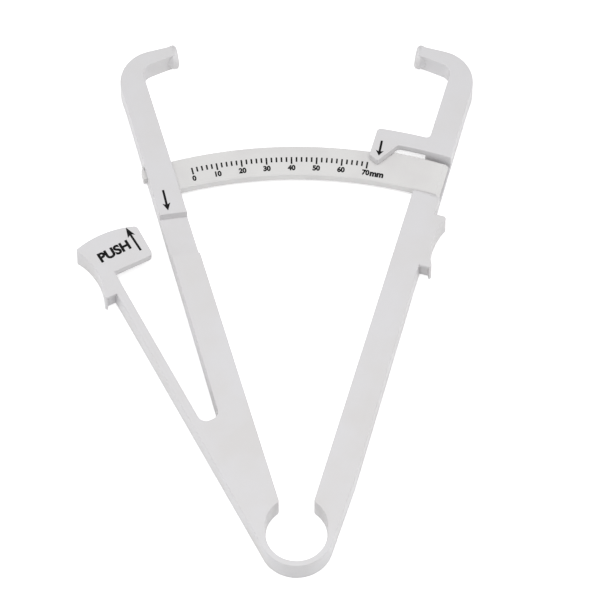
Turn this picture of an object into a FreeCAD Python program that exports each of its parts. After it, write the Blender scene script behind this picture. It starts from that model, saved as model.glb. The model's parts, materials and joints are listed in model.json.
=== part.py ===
import FreeCAD, Part
import os
import re
import Sketcher
from FreeCAD import Placement, Rotation, Vector

# One-hand skinfold caliper with an open C-ring spring, a curved sliding scale and a sprung press pad.
#
# Frame: +Y runs from the ring spring to the jaws, +X to the arm that slides on the scale, and +Z out of
# the lettered front. The origin lies on the flat back, at the middle of the ring's heel.
#
# The frame is one moulding: two cored arms, the ring that springs them apart, and the thin lever leaf
# with its press pad. It is modelled whole and then parted at its flexures, so that every seam is flush.
# The scale arc is the second moulding.
#
# Local frames, all with +Z as above:
#   ring   ring centre, axes as above
#   arm    ring centre, +Y along the right arm, +X outwards (the left arm is its mirror image)
#   leaf   ring centre, +Y along the lever leaf, +X towards the left arm
#   swing  the axis that the ring lets the arms swing about
#   jaw    that axis, +Y along the plane in which the right jaw meets the left one
#   thumb  the axis at the notch that the press pad swings about, +Y as in leaf

DIMENSIONS = {
    # moulding
    "thickness": 7.8,
    "skin": 2.4,
    "wall": 1.8,
    "edge_round": 0.3,
    # ring spring
    "ring_inner": 9.4,
    "ring_outer": 11.3,
    "ring_rise": 3.0,
    "neck_round": 1.0,
    "swing_drop": 5.0,
    # arms
    "arm_angle": 15.4,
    "arm_inner_root": 2.1,
    "arm_inner_tip": 3.3,
    "arm_outer_root": 12.2,
    "arm_outer_tip": 11.1,
    "arm_shoulder": 23.0,
    "core_start": 5.0,
    "core_stop": 7.0,
    "rib_width": 1.2,
    "rib_start": 36.0,
    "rib_pitch": 22.0,
    "rib_count": 4,
    # hooks and jaws
    "jaw_radius": 180.7,
    "jaw_lean": 3.4,
    "hook_above": 2.0,
    "hook_below": 1.5,
    "hook_slant": 1.8,
    "hook_end": 1.4,
    "hook_flare": 0.6,
    "flare_length": 17.0,
    "hook_outer_round": 11.5,
    "hook_inner_round": 3.5,
    "jaw_gap": 0.3,
    "disc_radius": 3.8,
    "disc_edge": 0.6,
    "disc_depth": 1.9,
    "disc_flare": 4.4,
    "disc_stem": 1.7,
    # lever leaf and press pad
    "leaf_angle": 27.2,
    "leaf_width": 2.9,
    "notch_bottom": 46.7,
    "notch_round": 2.8,
    "leaf_root": 3.1,
    "leaf_length": 49.8,
    "thumb_offset": 7.0,
    "pad_inner": 60.2,
    "pad_reach": 5.0,
    "pad_radius": 74.0,
    "pad_crown": 30.0,
    "pad_middle": 6.5,
    "pad_cap": 4.0,
    "pad_depth": 2.8,
    "pad_corner": 1.5,
    "pad_gap": 0.3,
    "recess_gap": 0.5,
    # finger and thumb rests
    "rest_length": 18.9,
    "rest_reach": 4.3,
    "rest_dip": 2.4,
    "rest_wall": 1.0,
    "rest_mouth": 1.2,
    "rest_skin": 1.2,
    "rest_round": 0.8,
    "finger_rest_start": 100.4,
    # scale arc and its channel
    "scale_outer": 143.2,
    "scale_width": 10.4,
    "scale_depth": 3.05,
    "slide_gap": 0.25,
    "seat_gap": 0.1,
    "scale_tail": 2.9,
    "seat_angle": 0.1,
    "scale_bevel": 0.3,
    "scale_lead": 6.1,
    "head_lead": 3.5,
    "head_step": 1.1,
    "head_inset": 0.5,
    "head_bevel": 1.2,
    "channel_gap": 2.2,
    "barb_drop": 8.9,
    "barb_length": 4.6,
    "barb_stem": 2.8,
    "barb_reach": 1.2,
    # pointer bracket
    "tongue_depth": 2.75,
    "bracket_width": 4.9,
    "bracket_lead": 6.6,
    "bracket_root": 2.2,
    "bracket_round": 1.3,
    "tongue_reach": 13.5,
    "tongue_heel": 3.6,
    "tongue_tip": 10.5,
    "tongue_drop": 5.2,
    "tongue_root": 4.4,
    "tongue_rise": 4.0,
    "tongue_round": 0.5,
    "root_round": 2.0,
    "lug_width": 1.5,
    "lug_root": 0.5,
    "stop_gap": 0.1,
}

# Positions along and across the frames, as expressions on the sheet.
RING_CENTRE = "((ring_inner + ring_outer) / 2)"
SWING_AXIS = f"({RING_CENTRE} - swing_drop)"
LEAF_INNER = "(ring_outer - leaf_width)"
SCALE_INNER = "(scale_outer - scale_width)"
SCALE_FRONT = "(thickness - tongue_depth - slide_gap)"
SCALE_BACK = f"({SCALE_FRONT} - scale_depth)"
CHANNEL_OUTER = "(scale_outer + channel_gap)"
CHANNEL_INNER = f"({SCALE_INNER} - slide_gap)"
RELIEF_INNER = f"({SCALE_INNER} - channel_gap)"
BRACKET_OUTER = f"({CHANNEL_OUTER} + bracket_width)"
PAD_BACK = "(thickness - pad_depth)"
RECESS_FLOOR = f"({PAD_BACK} - pad_gap)"
REST_RADIUS = "((rest_length ^ 2 / 4 + rest_dip ^ 2) / (2 * rest_dip))"
LEAF_START = "(notch_bottom + leaf_root)"
LEAF_END = f"({LEAF_START} + leaf_length)"
PAD_START = "(notch_bottom + pad_inner)"
PAD_CAP = "(notch_bottom + pad_radius - pad_cap)"

# Where the jaw and the scale lie in the arm frame.
SWING_ALONG = "(swing_drop * cos(arm_angle))"
JAW_ALONG = f"(jaw_radius * cos(jaw_lean) - {SWING_ALONG})"
JAW_ACROSS = "(swing_drop * sin(arm_angle) - jaw_radius * sin(jaw_lean))"
SCALE_ALONG = f"(scale_outer - {SWING_ALONG})"
BARB_START = "(scale_outer - barb_drop)"
HOOK_TOP = f"({JAW_ALONG} + hook_above)"
HOOK_THROAT = f"({JAW_ALONG} - hook_below)"
HOOK_CORNER = f"({HOOK_THROAT} - hook_slant)"
FLARE_START = f"({HOOK_TOP} - flare_length)"
CORE_END = f"({HOOK_CORNER} - core_stop)"


def arm_outer(along):
    """How far out an arm's outer edge lies at a place along the arm."""
    taper = f"(arm_outer_tip - arm_outer_root) / ({HOOK_TOP} - arm_shoulder)"
    return f"(arm_outer_root + {taper} * (({along}) - arm_shoulder))"


REST_EDGE = arm_outer("finger_rest_start")
BARB_EDGE = arm_outer(BARB_START)
HEAD_END = f"({arm_outer(SCALE_ALONG)} - head_inset)"

FRAMES = {
    "arm": ("0", RING_CENTRE, "-arm_angle"),
    "leaf": ("0", RING_CENTRE, "leaf_angle"),
    "ring": ("0", RING_CENTRE, "0"),
    "swing": ("0", SWING_AXIS, "0"),
    "arm_mirror": ("0", RING_CENTRE, "arm_angle"),
    "jaw": ("0", SWING_AXIS, "(jaw_lean - arm_angle)"),
    "thumb": (
        "(-thumb_offset * cos(leaf_angle) - notch_bottom * sin(leaf_angle))",
        f"({RING_CENTRE} - thumb_offset * sin(leaf_angle) + notch_bottom * cos(leaf_angle))",
        "leaf_angle",
    ),
}

BEYOND = "240"  # reach of a cutting tool past the moulding's outline
TOUCHING = 0.02  # how close an edge lies to where it is looked for

doc = FreeCAD.newDocument("skinfold_caliper")


def make_sheet():
    """Put every driving dimension in a cell of its own, named by its alias."""
    cells = doc.addObject("Spreadsheet::Sheet", "Sheet")
    for row, (name, value) in enumerate(DIMENSIONS.items(), start=1):
        cells.set(f"A{row}", name)
        cells.set(f"B{row}", str(value))
        cells.setAlias(f"B{row}", name)
    doc.recompute()
    return cells


sheet = make_sheet()


def bind(text):
    """Turn a formula on dimension names into a FreeCAD expression on the sheet."""
    return re.sub(
        r"[a-z]\w*", lambda word: f"Sheet.{word[0]}" if word[0] in DIMENSIONS else word[0], text
    )


def number(text):
    """The value that such a formula has now."""
    value = sheet.evalExpression(bind(text))
    return float(getattr(value, "Value", value))


def drive(item, **formulas):
    """Bind properties of an object to formulas, with two underscores for a dot in their names."""
    for name, text in formulas.items():
        item.setExpression(name.replace("__", "."), bind(text))
    return item


def place(item, frame, across="0", along="0", height="0", turn="0"):
    """Put an object at a point of a local frame, turned about +Z."""
    x, y, angle = FRAMES[frame]
    item.Placement = Placement(Vector(), Rotation(Vector(0, 0, 1), 1))
    return drive(
        item,
        Placement__Base__x=f"{x} + ({across}) * cos({angle}) - ({along}) * sin({angle})",
        Placement__Base__y=f"{y} + ({across}) * sin({angle}) + ({along}) * cos({angle})",
        Placement__Base__z=height,
        Placement__Rotation__Angle=f"{angle} + ({turn})",
    )


# ---- building blocks ----


def sketch_on(body, corners, plane="XY_Plane"):
    """A closed sketch of straight edges whose corners are formulas."""
    base = next(item for item in body.Origin.OriginFeatures if item.Role == plane)
    sketch = body.newObject("Sketcher::SketchObject", f"{body.Name}_outline")
    sketch.AttachmentSupport = (base, [""])
    sketch.MapMode = "FlatFace"
    points = [Vector(number(x), number(y), 0) for x, y in corners]
    for index, point in enumerate(points):
        sketch.addGeometry(Part.LineSegment(point, points[(index + 1) % len(points)]))
    for index, (x, y) in enumerate(corners):
        following = (index + 1) % len(points)
        sketch.addConstraint(Sketcher.Constraint("Coincident", index, 2, following, 1))
        for kind, axis, text, now in (
            ("DistanceX", -2, x, points[index].x),
            ("DistanceY", -1, y, points[index].y),
        ):
            if text == "0":
                sketch.addConstraint(Sketcher.Constraint("PointOnObject", index, 1, axis))
            else:
                rule = sketch.addConstraint(Sketcher.Constraint(kind, -1, 1, index, 1, now))
                sketch.setExpression(f"Constraints[{rule}]", bind(text))
    return sketch


def prism(name, frame, corners, depth, height="0"):
    """A body padded from an outline in a local frame."""
    body = doc.addObject("PartDesign::Body", name)
    pad = body.newObject("PartDesign::Pad", f"{name}_pad")
    pad.Profile = sketch_on(body, corners)
    drive(pad, Length=depth)
    body.Tip = pad
    place(body, frame, height=height)
    return body


def sector(name, frame, inner, outer, depth, height="0", start="0", sweep="360"):
    """A flat ring or part of one, about a frame's origin, swept anticlockwise from its own +X."""
    outside = doc.addObject("Part::Cylinder", f"{name}_outside")
    drive(outside, Radius=outer, Height=depth, Angle=sweep)
    place(outside, frame, height=height, turn=start)
    inside = doc.addObject("Part::Cylinder", f"{name}_inside")
    drive(inside, Radius=inner, Height=f"{depth} + 2")
    place(inside, frame, height=f"{height} - 1")
    return cut(name, outside, inside)


def box(name, frame, across, along, length, width, depth, height="0"):
    """A block whose near corner is at a point of a local frame."""
    block = doc.addObject("Part::Box", name)
    drive(block, Length=length, Width=width, Height=depth)
    return place(block, frame, across, along, height)


def half_space(name, frame, across, along, length, width):
    """A region as deep as the moulding, from a near corner in a local frame."""
    return box(name, frame, across, along, length, width, "thickness + 2", "-1")


def cut(name, base, *tools):
    """The base less its tools."""
    tool = tools[0] if len(tools) == 1 else fuse(f"{name}_tools", *tools)
    result = doc.addObject("Part::Cut", name)
    result.Base = base
    result.Tool = tool
    result.Refine = True
    return result


def fuse(name, *pieces):
    """Pieces joined into one solid."""
    result = doc.addObject("Part::MultiFuse", name)
    result.Shapes = list(pieces)
    result.Refine = True
    return result


def common(name, base, region):
    """What of the base lies in a region."""
    result = doc.addObject("Part::Common", name)
    result.Base = base
    result.Tool = region
    result.Refine = True
    return result


def mirror(name, source):
    """The mirror image across the plane between the arms."""
    result = doc.addObject("Part::Mirroring", name)
    result.Source = source
    result.Normal = Vector(1, 0, 0)
    return result


def break_edges(kind, name, base, chosen):
    """Fillet or chamfer the edges of a shape that a test picks: it gives a size, or None."""
    doc.recompute()
    edges = []
    for index, edge in enumerate(base.Shape.Edges, start=1):
        size = chosen(edge)
        if size:
            edges.append((index, size, size))
    result = doc.addObject(f"Part::{kind}", name)
    result.Base = base
    result.Edges = edges
    return result


def upright(edge):
    """Whether an edge is straight and parallel to Z."""
    return edge.Curve.TypeId == "Part::GeomLine" and abs(edge.tangentAt(edge.FirstParameter).z) > 0.999


def front_edges(size, front):
    """A test for the edges that bound a flat front at a height."""
    level = number(front)

    def chosen(edge):
        bounds = edge.BoundBox
        return number(size) if min(bounds.ZMin, 2 * level - bounds.ZMax) > level - TOUCHING else None

    return chosen


def seen_from(frame, point):
    """A point's place across and along a local frame."""
    x, y, angle = (number(text) for text in FRAMES[frame])
    local = Placement(Vector(x, y, 0), Rotation(Vector(0, 0, 1), angle)).inverse()
    return local.multVec(Vector(point.x, point.y, 0))


# ---- the frame moulding, whole ----


def arm_blank():
    """The right arm with its hook, in full thickness."""
    body = prism(
        "arm_blank",
        "arm",
        [
            ("arm_inner_root", "0"),
            ("ring_outer", "0"),
            ("arm_outer_root", "arm_shoulder"),
            (arm_outer(FLARE_START), FLARE_START),
            ("arm_outer_tip + hook_flare", HOOK_TOP),
            (f"{JAW_ACROSS} + hook_end", HOOK_TOP),
            (f"{JAW_ACROSS} + hook_end", HOOK_THROAT),
            ("arm_inner_tip", HOOK_CORNER),
        ],
        "thickness",
    )
    round_corner(body, "hook_outer", "arm_outer_tip + hook_flare", HOOK_TOP, "hook_outer_round")
    round_corner(body, "hook_inner", "arm_inner_tip", HOOK_CORNER, "hook_inner_round")
    return body


def round_corner(body, name, across, along, radius):
    """Fillet the upright edge at a corner of a body's outline."""
    doc.recompute()
    base = body.Tip
    spot = Vector(number(across), number(along), 0)
    names = []
    for index, edge in enumerate(base.Shape.Edges, start=1):
        here = edge.BoundBox.Center
        if upright(edge) and Vector(here.x, here.y, 0).distanceToPoint(spot) < 0.1:
            names.append(f"Edge{index}")
    fillet = body.newObject("PartDesign::Fillet", name)
    fillet.Base = (base, names)
    drive(fillet, Radius=radius)
    body.Tip = fillet


def jaw_disc():
    """The round jaw on the hook's end, flared from a stem, with its face on the jaw plane."""
    body = doc.addObject("PartDesign::Body", "jaw_disc")
    turning = body.newObject("PartDesign::Revolution", "jaw_disc_turning")
    face = "jaw_gap / 2"
    turning.Profile = sketch_on(
        body,
        [
            (face, "0"),
            ("disc_flare + disc_depth", "0"),
            ("disc_flare + disc_depth", "disc_stem"),
            ("disc_flare", "disc_stem"),
            ("disc_depth", "disc_radius"),
            (f"{face} + disc_edge", "disc_radius"),
            (face, "disc_radius - disc_edge"),
        ],
    )
    turning.ReferenceAxis = (
        next(item for item in body.Origin.OriginFeatures if item.Role == "X_Axis"),
        [""],
    )
    turning.Angle = 360
    body.Tip = turning
    return place(body, "jaw", along="jaw_radius", height="thickness / 2")


def lever_blank():
    """The wedge of the left arm's root and the lever leaf, in full thickness."""
    return prism(
        "lever_blank",
        "leaf",
        [
            ("-ring_outer / 3", "0"),
            ("-ring_outer", "0"),
            ("-ring_outer", PAD_CAP),
            (f"-{LEAF_INNER}", PAD_CAP),
            (f"-{LEAF_INNER}", "notch_bottom"),
            ("ring_outer / 4", "notch_bottom"),
        ],
        "thickness",
    )


def pad_end():
    """A disc whose edge crowns the press pad's end, at the pad's reach from the axis that it swings on."""
    disc = doc.addObject("Part::Cylinder", "pad_end")
    drive(disc, Radius="pad_crown", Height="thickness")
    return place(disc, "leaf", "-pad_middle", "notch_bottom + pad_radius - pad_crown")


def pad_plate():
    """The press pad's front plate."""
    return box(
        "pad_plate",
        "leaf",
        "-(ring_outer + rest_reach)",
        PAD_START,
        "ring_outer + rest_reach + pad_reach",
        BEYOND,
        "pad_depth",
        PAD_BACK,
    )


def press_pad_blank():
    """The press pad: a front plate and the full-thickness thumb rest along its outer side."""
    rest = rest_block("thumb_rest", "leaf", -1, "ring_outer", LEAF_END, BEYOND)
    scooped = cut(
        "pad_scooped",
        fuse("pad_blank", pad_plate(), rest),
        finger_scoop("pad", "leaf", -1, "ring_outer", LEAF_END),
    )
    return common("pad_trimmed", scooped, pad_end())


def finger_scoop(name, frame, side, edge, start, wall="0"):
    """The cylinder that hollows a finger rest's outer face, larger by a wall for the space behind it."""
    scoop = doc.addObject("Part::Cylinder", f"{name}_scoop")
    drive(scoop, Radius=f"{REST_RADIUS} + {wall}", Height="thickness + 2")
    centre = f"{side} * ({edge} + rest_reach - rest_dip + {REST_RADIUS})"
    return place(scoop, frame, centre, f"{start} + rest_length / 2", "-1")


def rest_block(name, frame, side, edge, start, length="rest_length"):
    """A block on an outer edge with a shallow hollow for a finger; side is 1 or -1 for +X or -X."""
    block = box(
        f"{name}_block",
        frame,
        f"{edge} - wall" if side > 0 else f"-({edge}) - rest_reach",
        start,
        "rest_reach + wall",
        length,
        "thickness",
    )
    return cut(name, block, finger_scoop(name, frame, side, edge, start))


def rest_core(name, frame, side, edge, start):
    """The space behind a finger rest's front, open at its lower end and crossed by a rib just inside it."""
    across = edge if side > 0 else f"-({edge}) - rest_reach"
    block = box(
        f"{name}_block",
        frame,
        across,
        f"{start} - 1",
        "rest_reach",
        "rest_length + 1 - rest_wall",
        "thickness - rest_skin",
    )
    rib = box(f"{name}_rib", frame, across, f"{start} + rest_mouth", "rest_reach", "rest_wall", "thickness")
    return cut(name, block, finger_scoop(name, frame, side, edge, start, "rest_wall"), rib)


def arm_core():
    """The hollow that the back of an arm opens to, less its ribs and the block that the scale crosses."""
    core = prism(
        "arm_core_blank",
        "arm",
        [
            ("arm_inner_root + wall", "core_start"),
            ("ring_outer - wall", "core_start"),
            ("arm_outer_root - wall", "arm_shoulder"),
            (f"{arm_outer(CORE_END)} - wall", CORE_END),
            ("arm_inner_tip + wall", CORE_END),
        ],
        "thickness - skin",
    )
    block = sector(
        "scale_block",
        "swing",
        f"{RELIEF_INNER} - wall",
        f"{CHANNEL_OUTER} + wall",
        "thickness",
    )
    return cut("arm_core", core, arm_ribs(), block, ring_opening("arm_guard", "wall"))


def arm_ribs():
    """The cross ribs inside an arm."""
    body = doc.addObject("PartDesign::Body", "arm_ribs")
    rib = body.newObject("PartDesign::Pad", "arm_rib")
    rib.Profile = sketch_on(
        body,
        [
            ("0", "rib_start"),
            ("arm_outer_root", "rib_start"),
            ("arm_outer_root", "rib_start + rib_width"),
            ("0", "rib_start + rib_width"),
        ],
    )
    drive(rib, Length="thickness")
    row = body.newObject("PartDesign::LinearPattern", "arm_rib_row")
    row.Originals = [rib]
    row.Direction = (
        next(item for item in body.Origin.OriginFeatures if item.Role == "Y_Axis"),
        [""],
    )
    drive(row, Length="rib_pitch * (rib_count - 1)", Occurrences="rib_count")
    body.Tip = row
    return place(body, "arm")


def root_core():
    """The hollow behind the left arm's root, between the lever's line and the arm."""
    core = prism(
        "root_core_blank",
        "leaf",
        [
            ("-ring_outer / 2", "core_start"),
            ("wall - ring_outer", "core_start"),
            ("wall - ring_outer", "notch_bottom - wall"),
            ("wall", "notch_bottom - wall"),
        ],
        "thickness - skin",
    )
    return cut("root_core", core, ring_opening("root_guard", "wall"))


def ring_opening(name, wall="0"):
    """The ring's hole, a circle drawn out towards the arms, larger by a wall for what keeps clear of it."""
    radius = f"ring_inner + {wall}"
    ends = []
    for end, along in (("low", "0"), ("high", "ring_rise")):
        disc = doc.addObject("Part::Cylinder", f"{name}_{end}")
        drive(disc, Radius=radius, Height="thickness + 2")
        ends.append(place(disc, "ring", along=along, height="-1"))
    middle = half_space(f"{name}_middle", "ring", f"-({radius})", "0", f"2 * ({radius})", "ring_rise")
    return fuse(name, *ends, middle)


def neck_gap():
    """The gap between the two arms' inner edges, which opens the ring."""
    def inner_edge(along):
        across = f"(arm_inner_root + (arm_inner_tip - arm_inner_root) * {along} / {HOOK_CORNER})"
        return (
            f"{across} * cos(arm_angle) + {along} * sin(arm_angle)",
            f"{along} * cos(arm_angle) - {across} * sin(arm_angle)",
        )

    low, high = inner_edge("(ring_inner / 2)"), inner_edge("(ring_outer * 2)")
    return prism(
        "neck_gap",
        "ring",
        [(f"-({low[0]})", low[1]), low, high, (f"-({high[0]})", high[1])],
        "thickness",
    )


def corner_radius(edge):
    """The fillet on an upright corner of the moulding, if it has one."""
    if not upright(edge):
        return None
    here = edge.BoundBox.Center
    in_leaf, in_ring, in_arm = (seen_from(frame, here) for frame in ("leaf", "ring", "arm"))
    from_neck = in_ring - Vector(0, number("ring_rise"), 0)
    if abs(from_neck.Length - number("ring_inner")) < TOUCHING and from_neck.y > number("ring_inner / 2"):
        return number("neck_round")
    if abs(in_leaf.y - number("notch_bottom")) < TOUCHING:
        return number("notch_round")
    if abs(in_leaf.x - number("pad_reach")) < TOUCHING:
        return number("pad_corner")
    if abs(in_leaf.x + number("ring_outer + rest_reach")) < TOUCHING:
        flat = in_leaf.y - number(f"{LEAF_END} + rest_length")
        if abs(flat) < TOUCHING:
            return None
        return min(number("rest_round"), flat) if flat > 0 else number("rest_round")
    if abs(in_arm.x - number(f"{REST_EDGE} + rest_reach")) < TOUCHING:
        return number("rest_round")
    if abs(in_arm.x + number("tongue_reach")) < TOUCHING:
        return number("bracket_round" if in_arm.y > number(SCALE_ALONG) else "tongue_round")
    if abs(in_arm.x + number("tongue_tip")) < TOUCHING:
        return number("tongue_round")
    from_swing = seen_from("swing", here).Length
    if abs(from_swing - number(BRACKET_OUTER)) < TOUCHING and in_arm.x > 0:
        return number("bracket_round")
    at_channel = abs(from_swing - number(CHANNEL_OUTER)) < TOUCHING
    if at_channel and -number("tongue_tip") < in_arm.x < -number("tongue_root"):
        return number("root_round")
    return None


def frame_moulding():
    """The whole frame moulding, with its upright corners and front edges rounded."""
    half = fuse("arm_and_jaw", arm_blank(), jaw_disc())
    ring = doc.addObject("Part::Cylinder", "ring_disc")
    drive(ring, Radius="ring_outer", Height="thickness")
    place(ring, "ring")
    blank = fuse(
        "frame_blank",
        half,
        mirror("arm_and_jaw_left", half),
        lever_blank(),
        press_pad_blank(),
        rest_block("finger_rest", "arm", 1, REST_EDGE, "finger_rest_start"),
        ring,
    )
    pierced = cut("frame_pierced", blank, ring_opening("ring_hole"), neck_gap(), channel())
    bracketed = fuse("frame_bracketed", pierced, pointer_bracket())
    cornered = break_edges("Fillet", "frame_cornered", bracketed, corner_radius)
    return break_edges("Fillet", "frame_rounded", cornered, front_edges("edge_round", "thickness"))


def channel():
    """The channel that the scale slides in, wider above the scale's front than beside it."""
    floor = f"{SCALE_BACK} - slide_gap"
    low = sector("slide", "swing", CHANNEL_INNER, CHANNEL_OUTER, "thickness", floor, sweep="90")
    high = sector("relief", "swing", RELIEF_INNER, CHANNEL_OUTER, "thickness", SCALE_FRONT, sweep="90")
    return fuse("channel", low, high)


def pointer_bracket():
    """The arm's shelf beyond the scale, with the pointed tongue that lies over the scale's upper edge."""
    shelf = sector(
        "shelf",
        "swing",
        CHANNEL_OUTER,
        BRACKET_OUTER,
        "tongue_depth",
        "thickness - tongue_depth",
        "90 - arm_angle - bracket_root",
        "bracket_root + bracket_lead",
    )
    tongue = prism(
        "tongue",
        "arm",
        [
            ("-tongue_reach", f"{SCALE_ALONG} + tongue_rise"),
            ("-tongue_reach", f"{SCALE_ALONG} - tongue_heel"),
            ("-tongue_tip", f"{SCALE_ALONG} - tongue_drop"),
            ("-tongue_root", f"{SCALE_ALONG} + tongue_rise"),
        ],
        "tongue_depth",
        "thickness - tongue_depth",
    )
    beyond = half_space(
        "bracket_trim",
        "arm",
        "-(tongue_reach + bracket_width)",
        SCALE_ALONG,
        "bracket_width",
        "channel_gap + 2 * bracket_width",
    )
    return cut("pointer_bracket", fuse("bracket_blank", shelf, tongue), beyond)


# ---- the two arms, the ring, the leaf and the pad, parted at the flexures ----


def spring_ring(moulding):
    """The open C that springs the arms apart: the half of the ring away from them."""
    region = half_space("ring_region", "ring", f"-{BEYOND} / 2", f"-{BEYOND}", BEYOND, BEYOND)
    return common("spring_ring", moulding, region)


def lever_leaf(moulding):
    """The thin leaf that carries the press pad."""
    region = half_space(
        "leaf_region",
        "leaf",
        "-(ring_outer + rest_reach)",
        LEAF_START,
        "rest_reach + leaf_width + wall / 2",
        "leaf_length",
    )
    return common("lever_leaf", moulding, region)


def press_pad(moulding):
    """The press pad, hollow behind its thumb rest and open at the lower end of that hollow."""
    region = half_space(
        "pad_region",
        "leaf",
        "-(ring_outer + rest_reach + wall)",
        LEAF_END,
        "ring_outer + rest_reach + 2 * wall + pad_reach",
        BEYOND,
    )
    core = rest_core("thumb_rest_core", "leaf", -1, "ring_outer", LEAF_END)
    return cut("press_pad", common("pad_slice", moulding, region), core)


def right_arm(moulding, core):
    """The arm that slides along the scale, with its finger rest, channel and pointer bracket."""
    region = half_space("right_region", "ring", "0", "0", BEYOND, BEYOND)
    finger_core = rest_core("finger_rest_core", "arm", 1, REST_EDGE, "finger_rest_start")
    arm = common("right_slice", moulding, region)
    return fuse("right_arm", cut("right_arm_cored", arm, core, finger_core), stop_lug())


def stop_lug():
    """The lug under the tongue that meets the scale's head and stops the arms opening further."""
    return sector(
        "stop_lug",
        "swing",
        "scale_outer + slide_gap",
        f"{CHANNEL_OUTER} + lug_root",
        f"thickness - tongue_depth - {SCALE_BACK} + slide_gap + lug_root",
        f"{SCALE_BACK} - slide_gap",
        "90 - arm_angle + head_lead + stop_gap",
        "lug_width",
    )


def left_arm(moulding, core, leaf, pad):
    """The arm that holds the scale, with the recess that the press pad swings into."""
    region = half_space("left_region", "ring", f"-{BEYOND}", "0", BEYOND, BEYOND)
    arm = common("left_slice", moulding, region)
    floor_guard = sector(
        "recess_guard",
        "thumb",
        "pad_inner - recess_gap - wall",
        "pad_radius + recess_gap + wall",
        "thickness",
        f"{RECESS_FLOOR} - skin",
    )
    hollow = cut("left_core", mirror("left_core_blank", core), floor_guard)
    recess = sector(
        "pad_recess",
        "thumb",
        "pad_inner - recess_gap",
        "pad_radius + recess_gap",
        "thickness",
        RECESS_FLOOR,
    )
    seat = sector(
        "scale_seat",
        "swing",
        f"{SCALE_INNER} - seat_gap",
        "scale_outer + seat_gap",
        "scale_depth + 2 * seat_gap",
        f"{SCALE_BACK} - seat_gap",
        "90",
        "arm_angle + scale_tail + seat_angle",
    )
    slot = box(
        "barb_slot",
        "arm_mirror",
        "-(arm_outer_root + 2)",
        f"{BARB_START} - seat_gap",
        "wall + 4",
        "barb_stem + 2 * seat_gap",
        "scale_depth + 2 * seat_gap",
        f"{SCALE_BACK} - seat_gap",
    )
    return cut("left_arm", arm, leaf, pad, hollow, root_core(), recess, seat, slot)


# ---- the scale ----


def scale_bevels(edge):
    """The bevel on an edge of the scale's front: a broad one on the head's end, fine ones elsewhere."""
    fine = front_edges("scale_bevel", SCALE_FRONT)(edge)
    at_end = seen_from("arm", edge.BoundBox.Center).x > number(HEAD_END) - TOUCHING
    return number("head_bevel") if fine and at_end else fine


def scale_arc():
    """The curved scale: its head stops the arms opening, and its barb holds it in the left arm."""
    band = sector(
        "scale_band",
        "swing",
        SCALE_INNER,
        "scale_outer",
        "scale_depth",
        SCALE_BACK,
        "90 - arm_angle - scale_lead",
        "2 * arm_angle + scale_tail + scale_lead",
    )
    head = sector(
        "scale_head",
        "swing",
        SCALE_INNER,
        "scale_outer + head_step",
        "scale_depth",
        SCALE_BACK,
        "90 - arm_angle - scale_lead",
        "scale_lead + head_lead",
    )
    beyond = half_space("head_trim", "arm", HEAD_END, "0", BEYOND, BEYOND)
    trimmed = cut("scale_trimmed", fuse("scale_blank", band, head), beyond)
    bevelled = break_edges("Chamfer", "scale_bevelled", trimmed, scale_bevels)
    stem = box(
        "barb_stem",
        "arm_mirror",
        f"-({BARB_EDGE} + barb_reach)",
        BARB_START,
        "wall + barb_reach + 3",
        "barb_stem",
        "scale_depth",
        SCALE_BACK,
    )
    barb = prism(
        "barb",
        "arm_mirror",
        [
            (f"-({BARB_EDGE} + seat_gap)", BARB_START),
            (f"-({BARB_EDGE} + seat_gap)", f"{BARB_START} + barb_length"),
            (f"-({BARB_EDGE} + barb_reach)", f"{BARB_START} + barb_stem"),
            (f"-({BARB_EDGE} + barb_reach)", BARB_START),
        ],
        "scale_depth",
        SCALE_BACK,
    )
    return fuse("scale_arc", bevelled, stem, barb)


# ---- the document ----


def check(item):
    """Stop at an object that failed or a shape that isn't one valid solid."""
    if item.Shape.isNull() or not item.Shape.isValid() or len(item.Shape.Solids) != 1:
        raise ValueError(f"{item.Label} isn't one valid solid")


def build():
    """Model every sub-part and write its STEP file."""
    moulding = frame_moulding()
    core = arm_core()
    leaf = lever_leaf(moulding)
    pad = press_pad(moulding)
    parts = [
        left_arm(moulding, core, leaf, doc.getObject("pad_slice")),
        right_arm(moulding, core),
        spring_ring(moulding),
        leaf,
        pad,
        scale_arc(),
    ]
    doc.recompute()
    for item in doc.Objects:
        if {"Invalid", "Error"} & set(item.State):
            raise ValueError(f"{item.Label} failed: {item.State}")
    os.makedirs("parts", exist_ok=True)
    for part in parts:
        check(part)
        part.Shape.exportStep(f"parts/{part.Label}.step")
        print(f"{part.Label}: {part.Shape.Volume:.0f} mm3, {part.Shape.BoundBox}")


build()
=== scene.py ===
import json
import math

import bmesh
import bpy
from mathutils import Matrix, Vector


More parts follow.
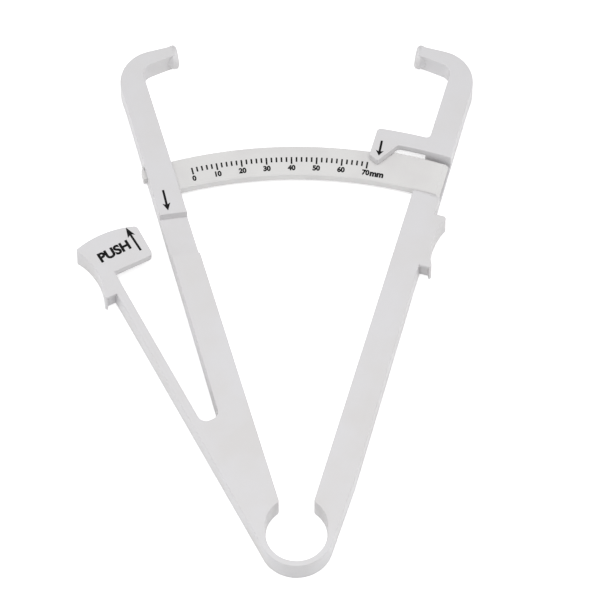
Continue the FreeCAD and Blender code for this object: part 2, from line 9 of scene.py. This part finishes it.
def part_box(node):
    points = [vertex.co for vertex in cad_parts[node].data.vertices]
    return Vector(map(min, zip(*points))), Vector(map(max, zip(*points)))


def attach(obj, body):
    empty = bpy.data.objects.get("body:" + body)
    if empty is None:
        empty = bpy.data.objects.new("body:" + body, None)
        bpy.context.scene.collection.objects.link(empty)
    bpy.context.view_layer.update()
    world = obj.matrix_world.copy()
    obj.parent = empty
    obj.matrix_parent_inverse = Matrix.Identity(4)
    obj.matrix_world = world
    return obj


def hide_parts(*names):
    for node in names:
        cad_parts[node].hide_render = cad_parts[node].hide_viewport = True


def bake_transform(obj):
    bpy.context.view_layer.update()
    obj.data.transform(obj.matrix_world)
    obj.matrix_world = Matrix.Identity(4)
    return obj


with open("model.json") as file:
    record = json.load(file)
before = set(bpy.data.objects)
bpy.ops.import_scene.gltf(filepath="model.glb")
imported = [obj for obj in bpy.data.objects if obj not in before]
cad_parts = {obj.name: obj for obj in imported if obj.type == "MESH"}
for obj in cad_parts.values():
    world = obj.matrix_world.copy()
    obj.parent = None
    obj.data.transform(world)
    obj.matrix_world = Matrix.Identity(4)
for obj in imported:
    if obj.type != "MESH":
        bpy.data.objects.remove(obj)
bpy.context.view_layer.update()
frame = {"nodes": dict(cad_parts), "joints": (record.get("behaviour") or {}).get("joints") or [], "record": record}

bl_info = {
    "name": "One-hand skinfold caliper",
    "version": (1, 0, 0),
    "blender": (4, 5, 0),
    "location": "3D View > Sidebar > Caliper",
    "description": "Finishes a moulded skinfold caliper: white plastic, printed scale, arrows, stage",
    "category": "Add Mesh",
}

# Lengths in this file are in millimetres and are turned to metres where they meet Blender.
# +Y runs from the ring spring to the jaws, +X to the sliding arm, and +Z out of the printed front.
MM = 0.001
JOINTS = {joint["name"]: joint for joint in frame["joints"]}
MOUNTS = {mount["name"]: mount for mount in frame["record"]["mounts"]}
SWING_AXIS = Vector(JOINTS["jaw_hinge"]["pos_m"]) / MM
JAW_CENTRE = Vector(MOUNTS["right_jaw_face"]["pos_m"]) / MM
ARM_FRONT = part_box("left_arm")[1].z / MM
SCALE_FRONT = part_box("scale_arc")[1].z / MM
LEAF_ANGLE = math.radians(27.2)  # from +Y to the lever leaf, towards the left arm

# how the solids' meshes are finished
WELD = 1e-7  # in metres: corners nearer than this are one
FLAT_ANGLE = math.radians(0.05)  # facets that turn less than this are joined
CRISP_ANGLE = math.radians(38)  # an edge that turns more than this stays crisp
LEAF_SLICES = 40  # lengths that the leaf is cut into, so that it can bend

# how the type and the arrows are drawn
NUMERAL_WIDTH = 0.93  # of the typeface's own width
UNIT_WIDTH = 0.95
WORD_WIDTH = 1.0
SCALE_BOLDNESS = 0.055  # how much thicker the strokes are, as a share of the type's size
WORD_BOLDNESS = 0.045
LETTER_STEPS = 6  # steps along each curve of a letter
BARB_SWEEP = 0.15  # how far an arrowhead's barbs sweep back, as a share of its length

# the stage, in metres but for the first
VIEW_CENTRE = Vector((1.05, 93.59, 3.9))  # what the camera and the lamps face, in mm
FLOOR_REACH = 3.0  # from the middle of the floor to each side
FLOOR_DEPTH = 0.0001  # how far the floor lies below the caliper's back
KEY_HEIGHT, KEY_SIZE = 0.6, 0.5
SIDE_REACH, SIDE_HEIGHT, SIDE_SIZE = 1.4, 0.45, 1.0
NEAREST, FARTHEST = 0.1, 30  # what the camera can see
SENSOR_WIDTH = 36  # in mm


def srgb(code):
    """An sRGB hex colour as linear red, green, blue and alpha."""
    parts = [int(code[i : i + 2], 16) / 255 for i in (1, 3, 5)]
    linear = [c / 12.92 if c <= 0.04045 else ((c + 0.055) / 1.055) ** 2.4 for c in parts]
    return (*linear, 1.0)


# ---- sizes and colours ----


def length(name, text, value):
    """A length property in millimetres."""
    return bpy.props.FloatProperty(name=name, description=text, default=value, min=0.0)


def angle(name, text, degrees):
    """An angle property."""
    return bpy.props.FloatProperty(
        name=name, description=text, subtype="ANGLE", unit="ROTATION", default=math.radians(degrees)
    )


def amount(name, text, value):
    """A plain number property."""
    return bpy.props.FloatProperty(name=name, description=text, default=value)


def place(name, text, x, y):
    """A place on the printed front, in millimetres."""
    return bpy.props.FloatVectorProperty(name=name, description=text, size=2, default=(x, y))


def colour(name, text, code):
    """A colour property from an sRGB hex code."""
    return bpy.props.FloatVectorProperty(
        name=name, description=text, subtype="COLOR", size=4, min=0.0, max=1.0, default=srgb(code)
    )


class CaliperPlastic(bpy.types.PropertyGroup):
    """The finish of the two mouldings."""

    frame_white: colour("Frame white", "Colour of the arms, ring, leaf and pad", "#DAD9DB")
    scale_white: colour("Scale white", "Colour of the scale arc", "#DFDEDD")
    tint: colour("Tint", "Colour of the faint cloudy patches", "#D7D5D5")
    grain: length("Grain", "Size of the spark-eroded grain, in mm", 0.35)
    cloud: length("Cloud", "Size of the cloudy patches, in mm", 16.0)


class CaliperScalePrint(bpy.types.PropertyGroup):
    """The graduations, which follow the opening of the jaws at their nearest points."""

    ink: colour("Ink", "Colour of the printed marks", "#070708")
    film: length("Film", "How far the ink stands on the plastic, in mm", 0.01)
    disc_radius: length("Disc radius", "Radius of the round jaws, in mm", 3.8)
    zero: angle("Zero angle", "Where the zero mark lies, from +Y towards +X", -13.65)
    pitch: length("Pitch", "Jaw opening from one mark to the next, in mm", 2.0)
    marks: bpy.props.IntProperty(
        name="Marks", description="How many marks there are", default=36, min=2
    )
    group: bpy.props.IntProperty(name="Group", description="Every which mark is long", default=5, min=1)
    outer: length("Outer radius", "From the swing axis to the marks' outer ends, in mm", 139.2)
    short: length("Short mark", "Length of a short mark, in mm", 1.75)
    long: length("Long mark", "Length of a long mark, in mm", 2.45)
    width: length("Mark width", "Width of a mark, in mm", 0.52)
    numeral_radius: length("Numeral radius", "From the swing axis to the numerals, in mm", 135.35)
    numeral_height: length("Numeral height", "Height of the numerals, in mm", 1.95)
    numeral_step: length("Numeral step", "Jaw opening from one numeral to the next, in mm", 10.0)
    unit_height: length("Unit height", "Height of a capital in the unit's type, in mm", 2.35)
    unit_shift: length("Unit shift", "From the last numeral's middle to the unit's, in mm", 3.5)


class CaliperFrontPrint(bpy.types.PropertyGroup):
    """The word and the arrows on the frame's front."""

    word: bpy.props.StringProperty(name="Word", description="What the press pad says", default="PUSH")
    word_height: length("Word height", "Height of the pad's letters, in mm", 3.5)
    word_middle: place("Word middle", "Middle of the pad's word, in mm", -56.55, 108.75)
    word_turn: angle("Word turn", "How far the word is turned from +X", 30.0)
    pad_tail: place("Pad arrow tail", "Tail of the press pad's arrow, in mm", -48.3, 109.1)
    pad_tip: place("Pad arrow tip", "Tip of the press pad's arrow, in mm", -53.1, 117.3)
    pad_head: length("Pad arrow head", "Length of the press pad's arrowhead, in mm", 3.7)
    arm_tail: place("Arm arrow tail", "Tail of the left arm's arrow, in mm", -41.65, 130.8)
    arm_tip: place("Arm arrow tip", "Tip of the left arm's arrow, in mm", -39.95, 123.4)
    arm_head: length("Arm arrow head", "Length of the left arm's arrowhead, in mm", 2.7)
    tongue_tail: place("Tongue arrow tail", "Tail of the pointer's arrow, in mm", 26.7, 148.75)
    tongue_tip: place("Tongue arrow tip", "Tip of the pointer's arrow, in mm", 25.65, 143.3)
    tongue_head: length("Tongue arrow head", "Length of the pointer's arrowhead, in mm", 1.9)
    head_width: length("Head width", "Width of an arrowhead, in mm", 2.5)
    shaft_width: length("Shaft width", "Width of an arrow's shaft, in mm", 0.72)


class CaliperStage(bpy.types.PropertyGroup):
    """Floor, light and camera."""

    floor: colour("Floor", "Colour of the floor", "#F4F4F4")
    key: amount("Key", "Power of the lamp over the ring, in W", 2.1)
    side: amount("Side", "Power of each lamp beside the arms, in W", 3.6)
    fill: amount("Fill", "Strength of the even light", 0.46)
    lift: amount("Lift", "How much paler the floor looks", 0.5)
    tilt: angle("Tilt", "How far the camera leans from straight above towards the ring", 29.6)
    distance: length("Distance", "From the camera to the caliper, in mm", 2000.0)
    focal_length: length("Focal length", "Focal length of the lens, in mm on a 36 mm frame", 387.94)


# ---- materials ----


def add(tree, kind, inputs=(), **settings):
    """Add a node with its settings.

    An input, by name or number, takes a value, another node's socket or its first result.
    """
    node = tree.nodes.new(kind)
    for name, value in settings.items():
        setattr(node, name, value)
    for key, value in dict(inputs).items():
        if isinstance(key, int):
            socket = node.inputs[key]
        else:
            socket = next(s for s in node.inputs if s.name == key and s.enabled)
        if isinstance(value, bpy.types.Node):
            value = next(s for s in value.outputs if s.enabled)
        if isinstance(value, bpy.types.NodeSocket):
            tree.links.new(value, socket)
        else:
            socket.default_value = value
    return node


def blank_material(name):
    """An empty node material and its output node."""
    material = bpy.data.materials.new(name)
    material.use_nodes = True
    tree = material.node_tree
    tree.nodes.clear()
    return material, tree, tree.nodes.new("ShaderNodeOutputMaterial")


def moulded_abs(name, white, finish):
    """Injection-moulded white ABS.

    It shows as an even satin skin with a fine spark-eroded grain and faint clouding.
    """
    material = bpy.data.materials.get(name)
    if material:
        return material
    material, tree, output = blank_material(name)
    where = add(tree, "ShaderNodeTexCoord").outputs["Object"]
    cloud = add(
        tree,
        "ShaderNodeTexNoise",
        {"Vector": where, "Scale": 1 / (finish.cloud * MM), "Detail": 3.0, "Roughness": 0.5},
    )
    grain = add(
        tree,
        "ShaderNodeTexNoise",
        {"Vector": where, "Scale": 1 / (finish.grain * MM), "Detail": 2.0, "Roughness": 0.6},
    )
    patches = add(tree, "ShaderNodeMapRange", {"Value": cloud, "From Min": 0.42, "From Max": 0.68})
    tone = add(
        tree, "ShaderNodeMix", {"Factor": patches, "A": white, "B": finish.tint}, data_type="RGBA"
    )
    sheen = add(
        tree,
        "ShaderNodeMapRange",
        {"Value": cloud, "From Min": 0.3, "From Max": 0.7, "To Min": 0.4, "To Max": 0.5},
    )
    relief = add(tree, "ShaderNodeBump", {"Height": grain, "Strength": 0.12, "Distance": 0.03 * MM})
    surface = add(
        tree,
        "ShaderNodeBsdfPrincipled",
        {"Base Color": tone, "Roughness": sheen, "Normal": relief, "IOR": 1.54},
    )
    tree.links.new(surface.outputs["BSDF"], output.inputs["Surface"])
    return material


def frame_plastic():
    """The frame moulding's plastic."""
    finish = bpy.context.scene.caliper_plastic
    return moulded_abs("moulded white ABS", finish.frame_white, finish)


def scale_plastic():
    """The scale moulding's plastic."""
    finish = bpy.context.scene.caliper_plastic
    return moulded_abs("moulded white ABS scale", finish.scale_white, finish)


def printing_ink():
    """Pad-printing ink: a thin matt black film, a little greyer where it is worn thin."""
    name = "pad printed ink"
    material = bpy.data.materials.get(name)
    if material:
        return material
    material, tree, output = blank_material(name)
    where = add(tree, "ShaderNodeTexCoord").outputs["Object"]
    wear = add(tree, "ShaderNodeTexNoise", {"Vector": where, "Scale": 1 / (0.5 * MM), "Detail": 3.0})
    thin = add(tree, "ShaderNodeMapRange", {"Value": wear, "From Min": 0.5, "From Max": 0.75})
    ink = bpy.context.scene.caliper_scale_print.ink
    shade = add(
        tree, "ShaderNodeMix", {"Factor": thin, "A": ink, "B": srgb("#1C1C20")}, data_type="RGBA"
    )
    surface = add(
        tree,
        "ShaderNodeBsdfPrincipled",
        {"Base Color": shade, "Roughness": 0.5, "IOR": 1.45, "Specular IOR Level": 0.2},
    )
    tree.links.new(surface.outputs["BSDF"], output.inputs["Surface"])
    return material


# ---- meshes ----


def new_piece(name, mesh, material):
    """An object for a finished mesh, with its material."""
    mesh.name = name
    mesh.materials.clear()
    mesh.materials.append(material)
    piece = bpy.data.objects.new(name, mesh)
    bpy.context.scene.collection.objects.link(piece)
    return piece


def finished_mesh(obj):
    """A new mesh of an object, with its modifiers applied or its letters filled."""
    depsgraph = bpy.context.evaluated_depsgraph_get()
    depsgraph.update()
    return bpy.data.meshes.new_from_object(obj.evaluated_get(depsgraph), depsgraph=depsgraph)


def settle(piece):
    """Apply a piece's modifiers to its mesh."""
    mesh = finished_mesh(piece)
    mesh.name = piece.name
    piece.modifiers.clear()
    piece.data = mesh


def slice_across(shell, along, count):
    """Cut a shell across a direction into equal lengths, so that it can bend."""
    reach = [vertex.co.dot(along) for vertex in shell.verts]
    start, stop = min(reach), max(reach)
    for step in range(1, count):
        bmesh.ops.bisect_plane(
            shell,
            geom=[*shell.verts, *shell.edges, *shell.faces],
            plane_co=along * (start + (stop - start) * step / count),
            plane_no=along,
            dist=WELD,
        )


def moulding(node, name, material, along=None, count=1):
    """A sub-part's solid as one welded mesh, smooth over its curves and crisp at its edges."""
    shell = bmesh.new()
    shell.from_mesh(frame["nodes"][node].data)
    bmesh.ops.remove_doubles(shell, verts=shell.verts, dist=WELD)
    bmesh.ops.dissolve_limit(
        shell, angle_limit=FLAT_ANGLE, verts=shell.verts, edges=shell.edges, delimit={"NORMAL"}
    )
    if along:
        slice_across(shell, along, count)
    for edge in shell.edges:
        edge.smooth = edge.calc_face_angle(0) < CRISP_ANGLE
    for face in shell.faces:
        face.smooth = True
    mesh = bpy.data.meshes.new(name)
    shell.to_mesh(mesh)
    shell.free()
    piece = new_piece(name, mesh, material)
    weights = piece.modifiers.new("even flats", "WEIGHTED_NORMAL")
    weights.keep_sharp = True
    weights.weight = 100
    settle(piece)
    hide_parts(node)
    return piece


class CaliperArms(bpy.types.Operator):
    """Finish the two hooked arms"""

    bl_idname = "caliper.arms"
    bl_label = "Arms"

    def execute(self, context):
        for node, body in (("left_arm", "left_frame"), ("right_arm", "right_frame")):
            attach(moulding(node, f"{node}_moulding", frame_plastic()), body)
        return {"FINISHED"}


class CaliperRing(bpy.types.Operator):
    """Finish the open ring that springs the arms apart"""

    bl_idname = "caliper.ring"
    bl_label = "Ring spring"

    def execute(self, context):
        piece = moulding("spring_ring", "ring_spring", frame_plastic())
        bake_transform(piece)
        return {"FINISHED"}


class CaliperLeaf(bpy.types.Operator):
    """Finish the thin leaf that bends when the pad is pressed"""

    bl_idname = "caliper.leaf"
    bl_label = "Lever leaf"

    def execute(self, context):
        along = Vector((-math.sin(LEAF_ANGLE), math.cos(LEAF_ANGLE), 0))
        piece = moulding(
            "lever_leaf", "thumb_lever_leaf", frame_plastic(), along, LEAF_SLICES
        )
        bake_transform(piece)
        return {"FINISHED"}


class CaliperPad(bpy.types.Operator):
    """Finish the press pad with its thumb rest"""

    bl_idname = "caliper.pad"
    bl_label = "Press pad"

    def execute(self, context):
        piece = moulding("press_pad", "press_pad_moulding", frame_plastic())
        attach(piece, "thumb_lever")
        return {"FINISHED"}


class CaliperScale(bpy.types.Operator):
    """Finish the curved scale"""

    bl_idname = "caliper.scale"
    bl_label = "Scale arc"

    def execute(self, context):
        piece = moulding("scale_arc", "scale_arc_moulding", scale_plastic())
        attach(piece, "left_frame")
        return {"FINISHED"}


# ---- printing ----


def graduation_tree():
    """Geometry nodes that lay marks along an arc at the angles where the jaws open by equal steps."""
    tree = bpy.data.node_groups.new("jaw graduations", "GeometryNodeTree")
    for name, kind in (
        ("Centre", "NodeSocketVector"),
        ("Reading radius", "NodeSocketFloat"),
        ("Zero angle", "NodeSocketFloat"),
        ("Pitch", "NodeSocketFloat"),
        ("Marks", "NodeSocketInt"),
        ("Group", "NodeSocketInt"),
        ("Outer radius", "NodeSocketFloat"),
        ("Short mark", "NodeSocketFloat"),
        ("Long mark", "NodeSocketFloat"),
        ("Mark width", "NodeSocketFloat"),
        ("Ink", "NodeSocketMaterial"),
    ):
        tree.interface.new_socket(name=name, in_out="INPUT", socket_type=kind)
    tree.interface.new_socket(name="Geometry", in_out="OUTPUT", socket_type="NodeSocketGeometry")
    given = tree.nodes.new("NodeGroupInput").outputs

    # the angle that each mark stands at: twice the arc sine of half its opening over the reading radius
    number = add(tree, "GeometryNodeInputIndex")
    opening = add(tree, "ShaderNodeMath", {0: number, 1: given["Pitch"]}, operation="MULTIPLY")
    chord = add(tree, "ShaderNodeMath", {0: opening, 1: given["Reading radius"]}, operation="DIVIDE")
    half_chord = add(tree, "ShaderNodeMath", {0: chord, 1: 0.5}, operation="MULTIPLY")
    half_turn = add(tree, "ShaderNodeMath", {0: half_chord}, operation="ARCSINE")
    turned = add(
        tree,
        "ShaderNodeMath",
        {0: half_turn, 1: 2.0, 2: given["Zero angle"]},
        operation="MULTIPLY_ADD",
    )

    # every first of a group is long
    place_in_group = add(tree, "ShaderNodeMath", {0: number, 1: given["Group"]}, operation="MODULO")
    is_long = add(tree, "ShaderNodeMath", {0: place_in_group, 1: 0.5}, operation="LESS_THAN")
    size = add(
        tree,
        "GeometryNodeSwitch",
        {"Switch": is_long, "False": given["Short mark"], "True": given["Long mark"]},
        input_type="FLOAT",
    )

    # the middle of each mark, so that all outer ends lie on one arc
    radius = add(
        tree,
        "ShaderNodeMath",
        {0: size, 1: -0.5, 2: given["Outer radius"]},
        operation="MULTIPLY_ADD",
    )
    sine = add(tree, "ShaderNodeMath", {0: turned}, operation="SINE")
    cosine = add(tree, "ShaderNodeMath", {0: turned}, operation="COSINE")
    direction = add(tree, "ShaderNodeCombineXYZ", {"X": sine, "Y": cosine})
    offset = add(
        tree, "ShaderNodeVectorMath", {"Vector": direction, "Scale": radius}, operation="SCALE"
    )
    spot = add(tree, "ShaderNodeVectorMath", {0: given["Centre"], 1: offset}, operation="ADD")
    points = add(tree, "GeometryNodeMeshLine", {"Count": given["Marks"], "Offset": (0.0, 0.0, 0.0)})
    spread = add(tree, "GeometryNodeSetPosition", {"Geometry": points, "Position": spot})

    mark = add(
        tree,
        "GeometryNodeMeshGrid",
        {"Size X": given["Mark width"], "Size Y": 1.0, "Vertices X": 2, "Vertices Y": 2},
    )
    clockwise = add(tree, "ShaderNodeMath", {0: turned, 1: -1.0}, operation="MULTIPLY")
    marks = add(
        tree,
        "GeometryNodeInstanceOnPoints",
        {
            "Points": spread,
            "Instance": mark,
            "Rotation": add(tree, "ShaderNodeCombineXYZ", {"Z": clockwise}),
            "Scale": add(tree, "ShaderNodeCombineXYZ", {"X": 1.0, "Y": size, "Z": 1.0}),
        },
    )
    real = add(tree, "GeometryNodeRealizeInstances", {"Geometry": marks})
    inked = add(tree, "GeometryNodeSetMaterial", {"Geometry": real, "Material": given["Ink"]})
    add(tree, "NodeGroupOutput", {"Geometry": inked})
    return tree


def reading_angle(layout, opening):
    """Where the scale shows a jaw opening, from +Y towards +X."""
    return layout.zero + 2 * math.asin(opening / 2 / reading_radius(layout))


def reading_radius(layout):
    """From the swing axis to where the round jaws come nearest to each other."""
    return (JAW_CENTRE - SWING_AXIS).to_2d().length - layout.disc_radius


def marks_mesh(layout):
    """The scale's marks as a plain mesh."""
    tree = graduation_tree()
    maker = bpy.data.objects.new("marks maker", bpy.data.meshes.new("marks maker"))
    bpy.context.scene.collection.objects.link(maker)
    modifier = maker.modifiers.new("jaw graduations", "NODES")
    modifier.node_group = tree
    values = {
        "Centre": (SWING_AXIS.x * MM, SWING_AXIS.y * MM, (SCALE_FRONT + layout.film) * MM),
        "Reading radius": reading_radius(layout) * MM,
        "Zero angle": layout.zero,
        "Pitch": layout.pitch * MM,
        "Marks": layout.marks,
        "Group": layout.group,
        "Outer radius": layout.outer * MM,
        "Short mark": layout.short * MM,
        "Long mark": layout.long * MM,
        "Mark width": layout.width * MM,
        "Ink": printing_ink(),
    }
    for socket in tree.interface.items_tree:
        if socket.in_out == "INPUT":
            modifier[socket.identifier] = values[socket.name]
    mesh = finished_mesh(maker)
    bpy.data.objects.remove(maker)
    return mesh


def lettering(text, height, width, boldness):
    """A line of plain sans-serif letters about the origin, with capitals of a height in mm."""
    curve = bpy.data.curves.new("lettering", "FONT")
    curve.size = 1.0
    curve.offset = boldness
    curve.resolution_u = LETTER_STEPS
    curve.body = "H"
    writer = bpy.data.objects.new("lettering", curve)
    bpy.context.scene.collection.objects.link(writer)
    capital = [vertex.co.y for vertex in finished_mesh(writer).vertices]
    low, high = min(capital), max(capital)
    curve.body = text
    bpy.context.view_layer.update()
    mesh = finished_mesh(writer)
    across = [vertex.co.x for vertex in mesh.vertices]
    middle = Vector(((min(across) + max(across)) / 2, (low + high) / 2, 0))
    scale = height / (high - low) * MM
    mesh.transform(Matrix.Diagonal((scale * width, scale, 1, 1)) @ Matrix.Translation(-middle))
    bpy.data.objects.remove(writer)
    return mesh


def arrow(tail, tip, head_length, head_width, shaft_width):
    """A slim arrow with a filled head whose barbs sweep back a little."""
    run = Vector(tip) - Vector(tail)
    neck = run.length - head_length
    half = shaft_width / 2
    throat = neck + BARB_SWEEP * head_length
    outline = [
        (-half, 0),
        (half, 0),
        (half, throat),
        (head_width / 2, neck),
        (0, run.length),
        (-head_width / 2, neck),
        (-half, throat),
    ]
    shape = bmesh.new()
    shape.faces.new([shape.verts.new((x * MM, y * MM, 0)) for x, y in outline])
    mesh = bpy.data.meshes.new("arrow")
    shape.to_mesh(mesh)
    shape.free()
    turn = Matrix.Rotation(math.atan2(-run.x, run.y), 4, "Z")
    mesh.transform(Matrix.Translation((tail[0] * MM, tail[1] * MM, 0)) @ turn)
    return mesh


def printed(name, meshes, height, body):
    """Flat marks joined into one print that faces up at a height and rides on a body."""
    sheet = bmesh.new()
    for mesh in meshes:
        sheet.from_mesh(mesh)
    for vertex in sheet.verts:
        vertex.co.z = height * MM
    bmesh.ops.remove_doubles(sheet, verts=sheet.verts, dist=WELD)
    sheet.normal_update()
    bmesh.ops.reverse_faces(sheet, faces=[face for face in sheet.faces if face.normal.z < 0])
    joined = bpy.data.meshes.new(name)
    sheet.to_mesh(joined)
    sheet.free()
    piece = new_piece(name, joined, printing_ink())
    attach(piece, body)


class CaliperScalePrinting(bpy.types.Operator):
    """Print the graduations and numerals on the scale"""

    bl_idname = "caliper.scale_print"
    bl_label = "Scale printing"

    def execute(self, context):
        layout = context.scene.caliper_scale_print
        meshes = [marks_mesh(layout)]
        span = layout.pitch * (layout.marks - 1)
        for index in range(round(span / layout.numeral_step) + 1):
            value = layout.numeral_step * index
            turned = reading_angle(layout, value)
            text = f"{value:.0f}"
            meshes.append(self.label(layout, text, layout.numeral_height, NUMERAL_WIDTH, turned))
        beyond = layout.unit_shift / layout.numeral_radius
        meshes.append(self.label(layout, "mm", layout.unit_height, UNIT_WIDTH, turned + beyond))
        printed("scale_graduations", meshes, SCALE_FRONT + layout.film, "left_frame")
        return {"FINISHED"}

    def label(self, layout, text, height, width, turned):
        """A numeral or the unit, upright across the scale at an angle."""
        mesh = lettering(text, height, width, SCALE_BOLDNESS)
        radius = layout.numeral_radius
        spot = SWING_AXIS + Vector((radius * math.sin(turned), radius * math.cos(turned), 0))
        mesh.transform(Matrix.Translation(spot * MM) @ Matrix.Rotation(-turned, 4, "Z"))
        return mesh


class CaliperFrontPrinting(bpy.types.Operator):
    """Print the word on the pad and the three arrows"""

    bl_idname = "caliper.front_print"
    bl_label = "Front printing"

    def execute(self, context):
        layout = context.scene.caliper_front_print
        height = ARM_FRONT + context.scene.caliper_scale_print.film
        word = lettering(layout.word, layout.word_height, WORD_WIDTH, WORD_BOLDNESS)
        middle = Vector((*layout.word_middle, 0)) * MM
        word.transform(Matrix.Translation(middle) @ Matrix.Rotation(layout.word_turn, 4, "Z"))
        widths = (layout.head_width, layout.shaft_width)
        pad = arrow(layout.pad_tail, layout.pad_tip, layout.pad_head, *widths)
        arm = arrow(layout.arm_tail, layout.arm_tip, layout.arm_head, *widths)
        tongue = arrow(layout.tongue_tail, layout.tongue_tip, layout.tongue_head, *widths)
        printed("press_pad_printing", [word, pad], height, "thumb_lever")
        printed("left_arm_arrow", [arm], height, "left_frame")
        printed("pointer_arrow", [tongue], height, "right_frame")
        return {"FINISHED"}


# ---- stage ----


def aimed(obj, spot, target):
    """Put a lamp or camera at a place, looking at a target."""
    obj.location = spot
    obj.rotation_euler = (target - spot).to_track_quat("-Z", "Y").to_euler()
    bpy.context.scene.collection.objects.link(obj)
    return obj


def lamp(name, spot, size, power, target):
    """A square soft lamp that no camera sees."""
    light = bpy.data.lights.new(name, "AREA")
    light.size = size
    light.energy = power
    fitting = aimed(bpy.data.objects.new(name, light), Vector(spot), target)
    fitting.visible_camera = False


def floor_material(stage):
    """Matt white paper: plain white to the camera, grey where it is shaded, clear from below."""
    material, tree, output = blank_material("white paper floor")
    paper = add(tree, "ShaderNodeBsdfPrincipled", {"Base Color": stage.floor, "Roughness": 0.9})
    glow = add(tree, "ShaderNodeEmission", {"Strength": stage.lift})
    lifted = add(tree, "ShaderNodeAddShader", {0: paper, 1: glow})
    ray = add(tree, "ShaderNodeLightPath").outputs
    mirrored = add(
        tree,
        "ShaderNodeMath",
        {0: ray["Is Glossy Ray"], 1: ray["Is Transmission Ray"]},
        operation="MAXIMUM",
    )
    looked_at = add(
        tree, "ShaderNodeMath", {0: ray["Is Camera Ray"], 1: mirrored}, operation="MAXIMUM"
    )
    seen = add(tree, "ShaderNodeMixShader", {0: looked_at, 1: paper, 2: lifted})
    below = add(tree, "ShaderNodeNewGeometry").outputs["Backfacing"]
    clear = add(tree, "ShaderNodeBsdfTransparent")
    sided = add(tree, "ShaderNodeMixShader", {0: below, 1: seen, 2: clear})
    tree.links.new(sided.outputs["Shader"], output.inputs["Surface"])
    return material


class CaliperStageBuild(bpy.types.Operator):
    """Lay the floor, set the lamps and place the camera"""

    bl_idname = "caliper.stage"
    bl_label = "Stage"

    def execute(self, context):
        scene = context.scene
        stage = scene.caliper_stage
        target = VIEW_CENTRE * MM
        corners = [
            (x * FLOOR_REACH, y * FLOOR_REACH, -FLOOR_DEPTH)
            for x, y in ((-1, -1), (1, -1), (1, 1), (-1, 1))
        ]
        mesh = bpy.data.meshes.new("floor")
        mesh.from_pydata(corners, [], [(0, 1, 2, 3)])
        new_piece("floor", mesh, floor_material(stage))
        lamp("lamp over the ring", (0.0, 0.0, KEY_HEIGHT), KEY_SIZE, stage.key, target)
        for side, x in (("left", -SIDE_REACH), ("right", SIDE_REACH)):
            lamp(f"lamp on the {side}", (x, 0.0, SIDE_HEIGHT), SIDE_SIZE, stage.side, target)
        world = bpy.data.worlds.new("even light")
        world.use_nodes = True
        sky = world.node_tree.nodes["Background"].inputs
        sky["Color"].default_value = (1, 1, 1, 1)
        sky["Strength"].default_value = stage.fill
        scene.world = world
        lens = bpy.data.cameras.new("camera")
        lens.sensor_width = SENSOR_WIDTH
        lens.lens = stage.focal_length
        lens.clip_start, lens.clip_end = NEAREST, FARTHEST
        back = Vector((0, -math.sin(stage.tilt), math.cos(stage.tilt)))
        spot = target + back * stage.distance * MM
        scene.camera = aimed(bpy.data.objects.new("camera", lens), spot, target)
        scene.view_settings.view_transform = "Standard"
        return {"FINISHED"}


class CaliperPanel(bpy.types.Panel):
    """Buttons for each piece and the stage"""

    bl_idname = "VIEW3D_PT_caliper"
    bl_label = "Skinfold caliper"
    bl_space_type = "VIEW_3D"
    bl_region_type = "UI"
    bl_category = "Caliper"

    def draw(self, context):
        for operator in OPERATORS:
            self.layout.operator(operator.bl_idname)


GROUPS = {
    "caliper_plastic": CaliperPlastic,
    "caliper_scale_print": CaliperScalePrint,
    "caliper_front_print": CaliperFrontPrint,
    "caliper_stage": CaliperStage,
}
OPERATORS = (
    CaliperArms,
    CaliperRing,
    CaliperLeaf,
    CaliperPad,
    CaliperScale,
    CaliperScalePrinting,
    CaliperFrontPrinting,
    CaliperStageBuild,
)


def register():
    """Add the classes and the scene's settings."""
    for cls in (*GROUPS.values(), *OPERATORS, CaliperPanel):
        bpy.utils.register_class(cls)
    for name, group in GROUPS.items():
        setattr(bpy.types.Scene, name, bpy.props.PointerProperty(type=group))


def unregister():
    """Take the classes and settings away again."""
    for name in GROUPS:
        delattr(bpy.types.Scene, name)
    for cls in reversed((*GROUPS.values(), *OPERATORS, CaliperPanel)):
        bpy.utils.unregister_class(cls)


def main():
    """Build every piece in order."""
    register()
    for operator in OPERATORS:
        group, name = operator.bl_idname.split(".")
        getattr(getattr(bpy.ops, group), name)()


if __name__ == "__main__":
    main()
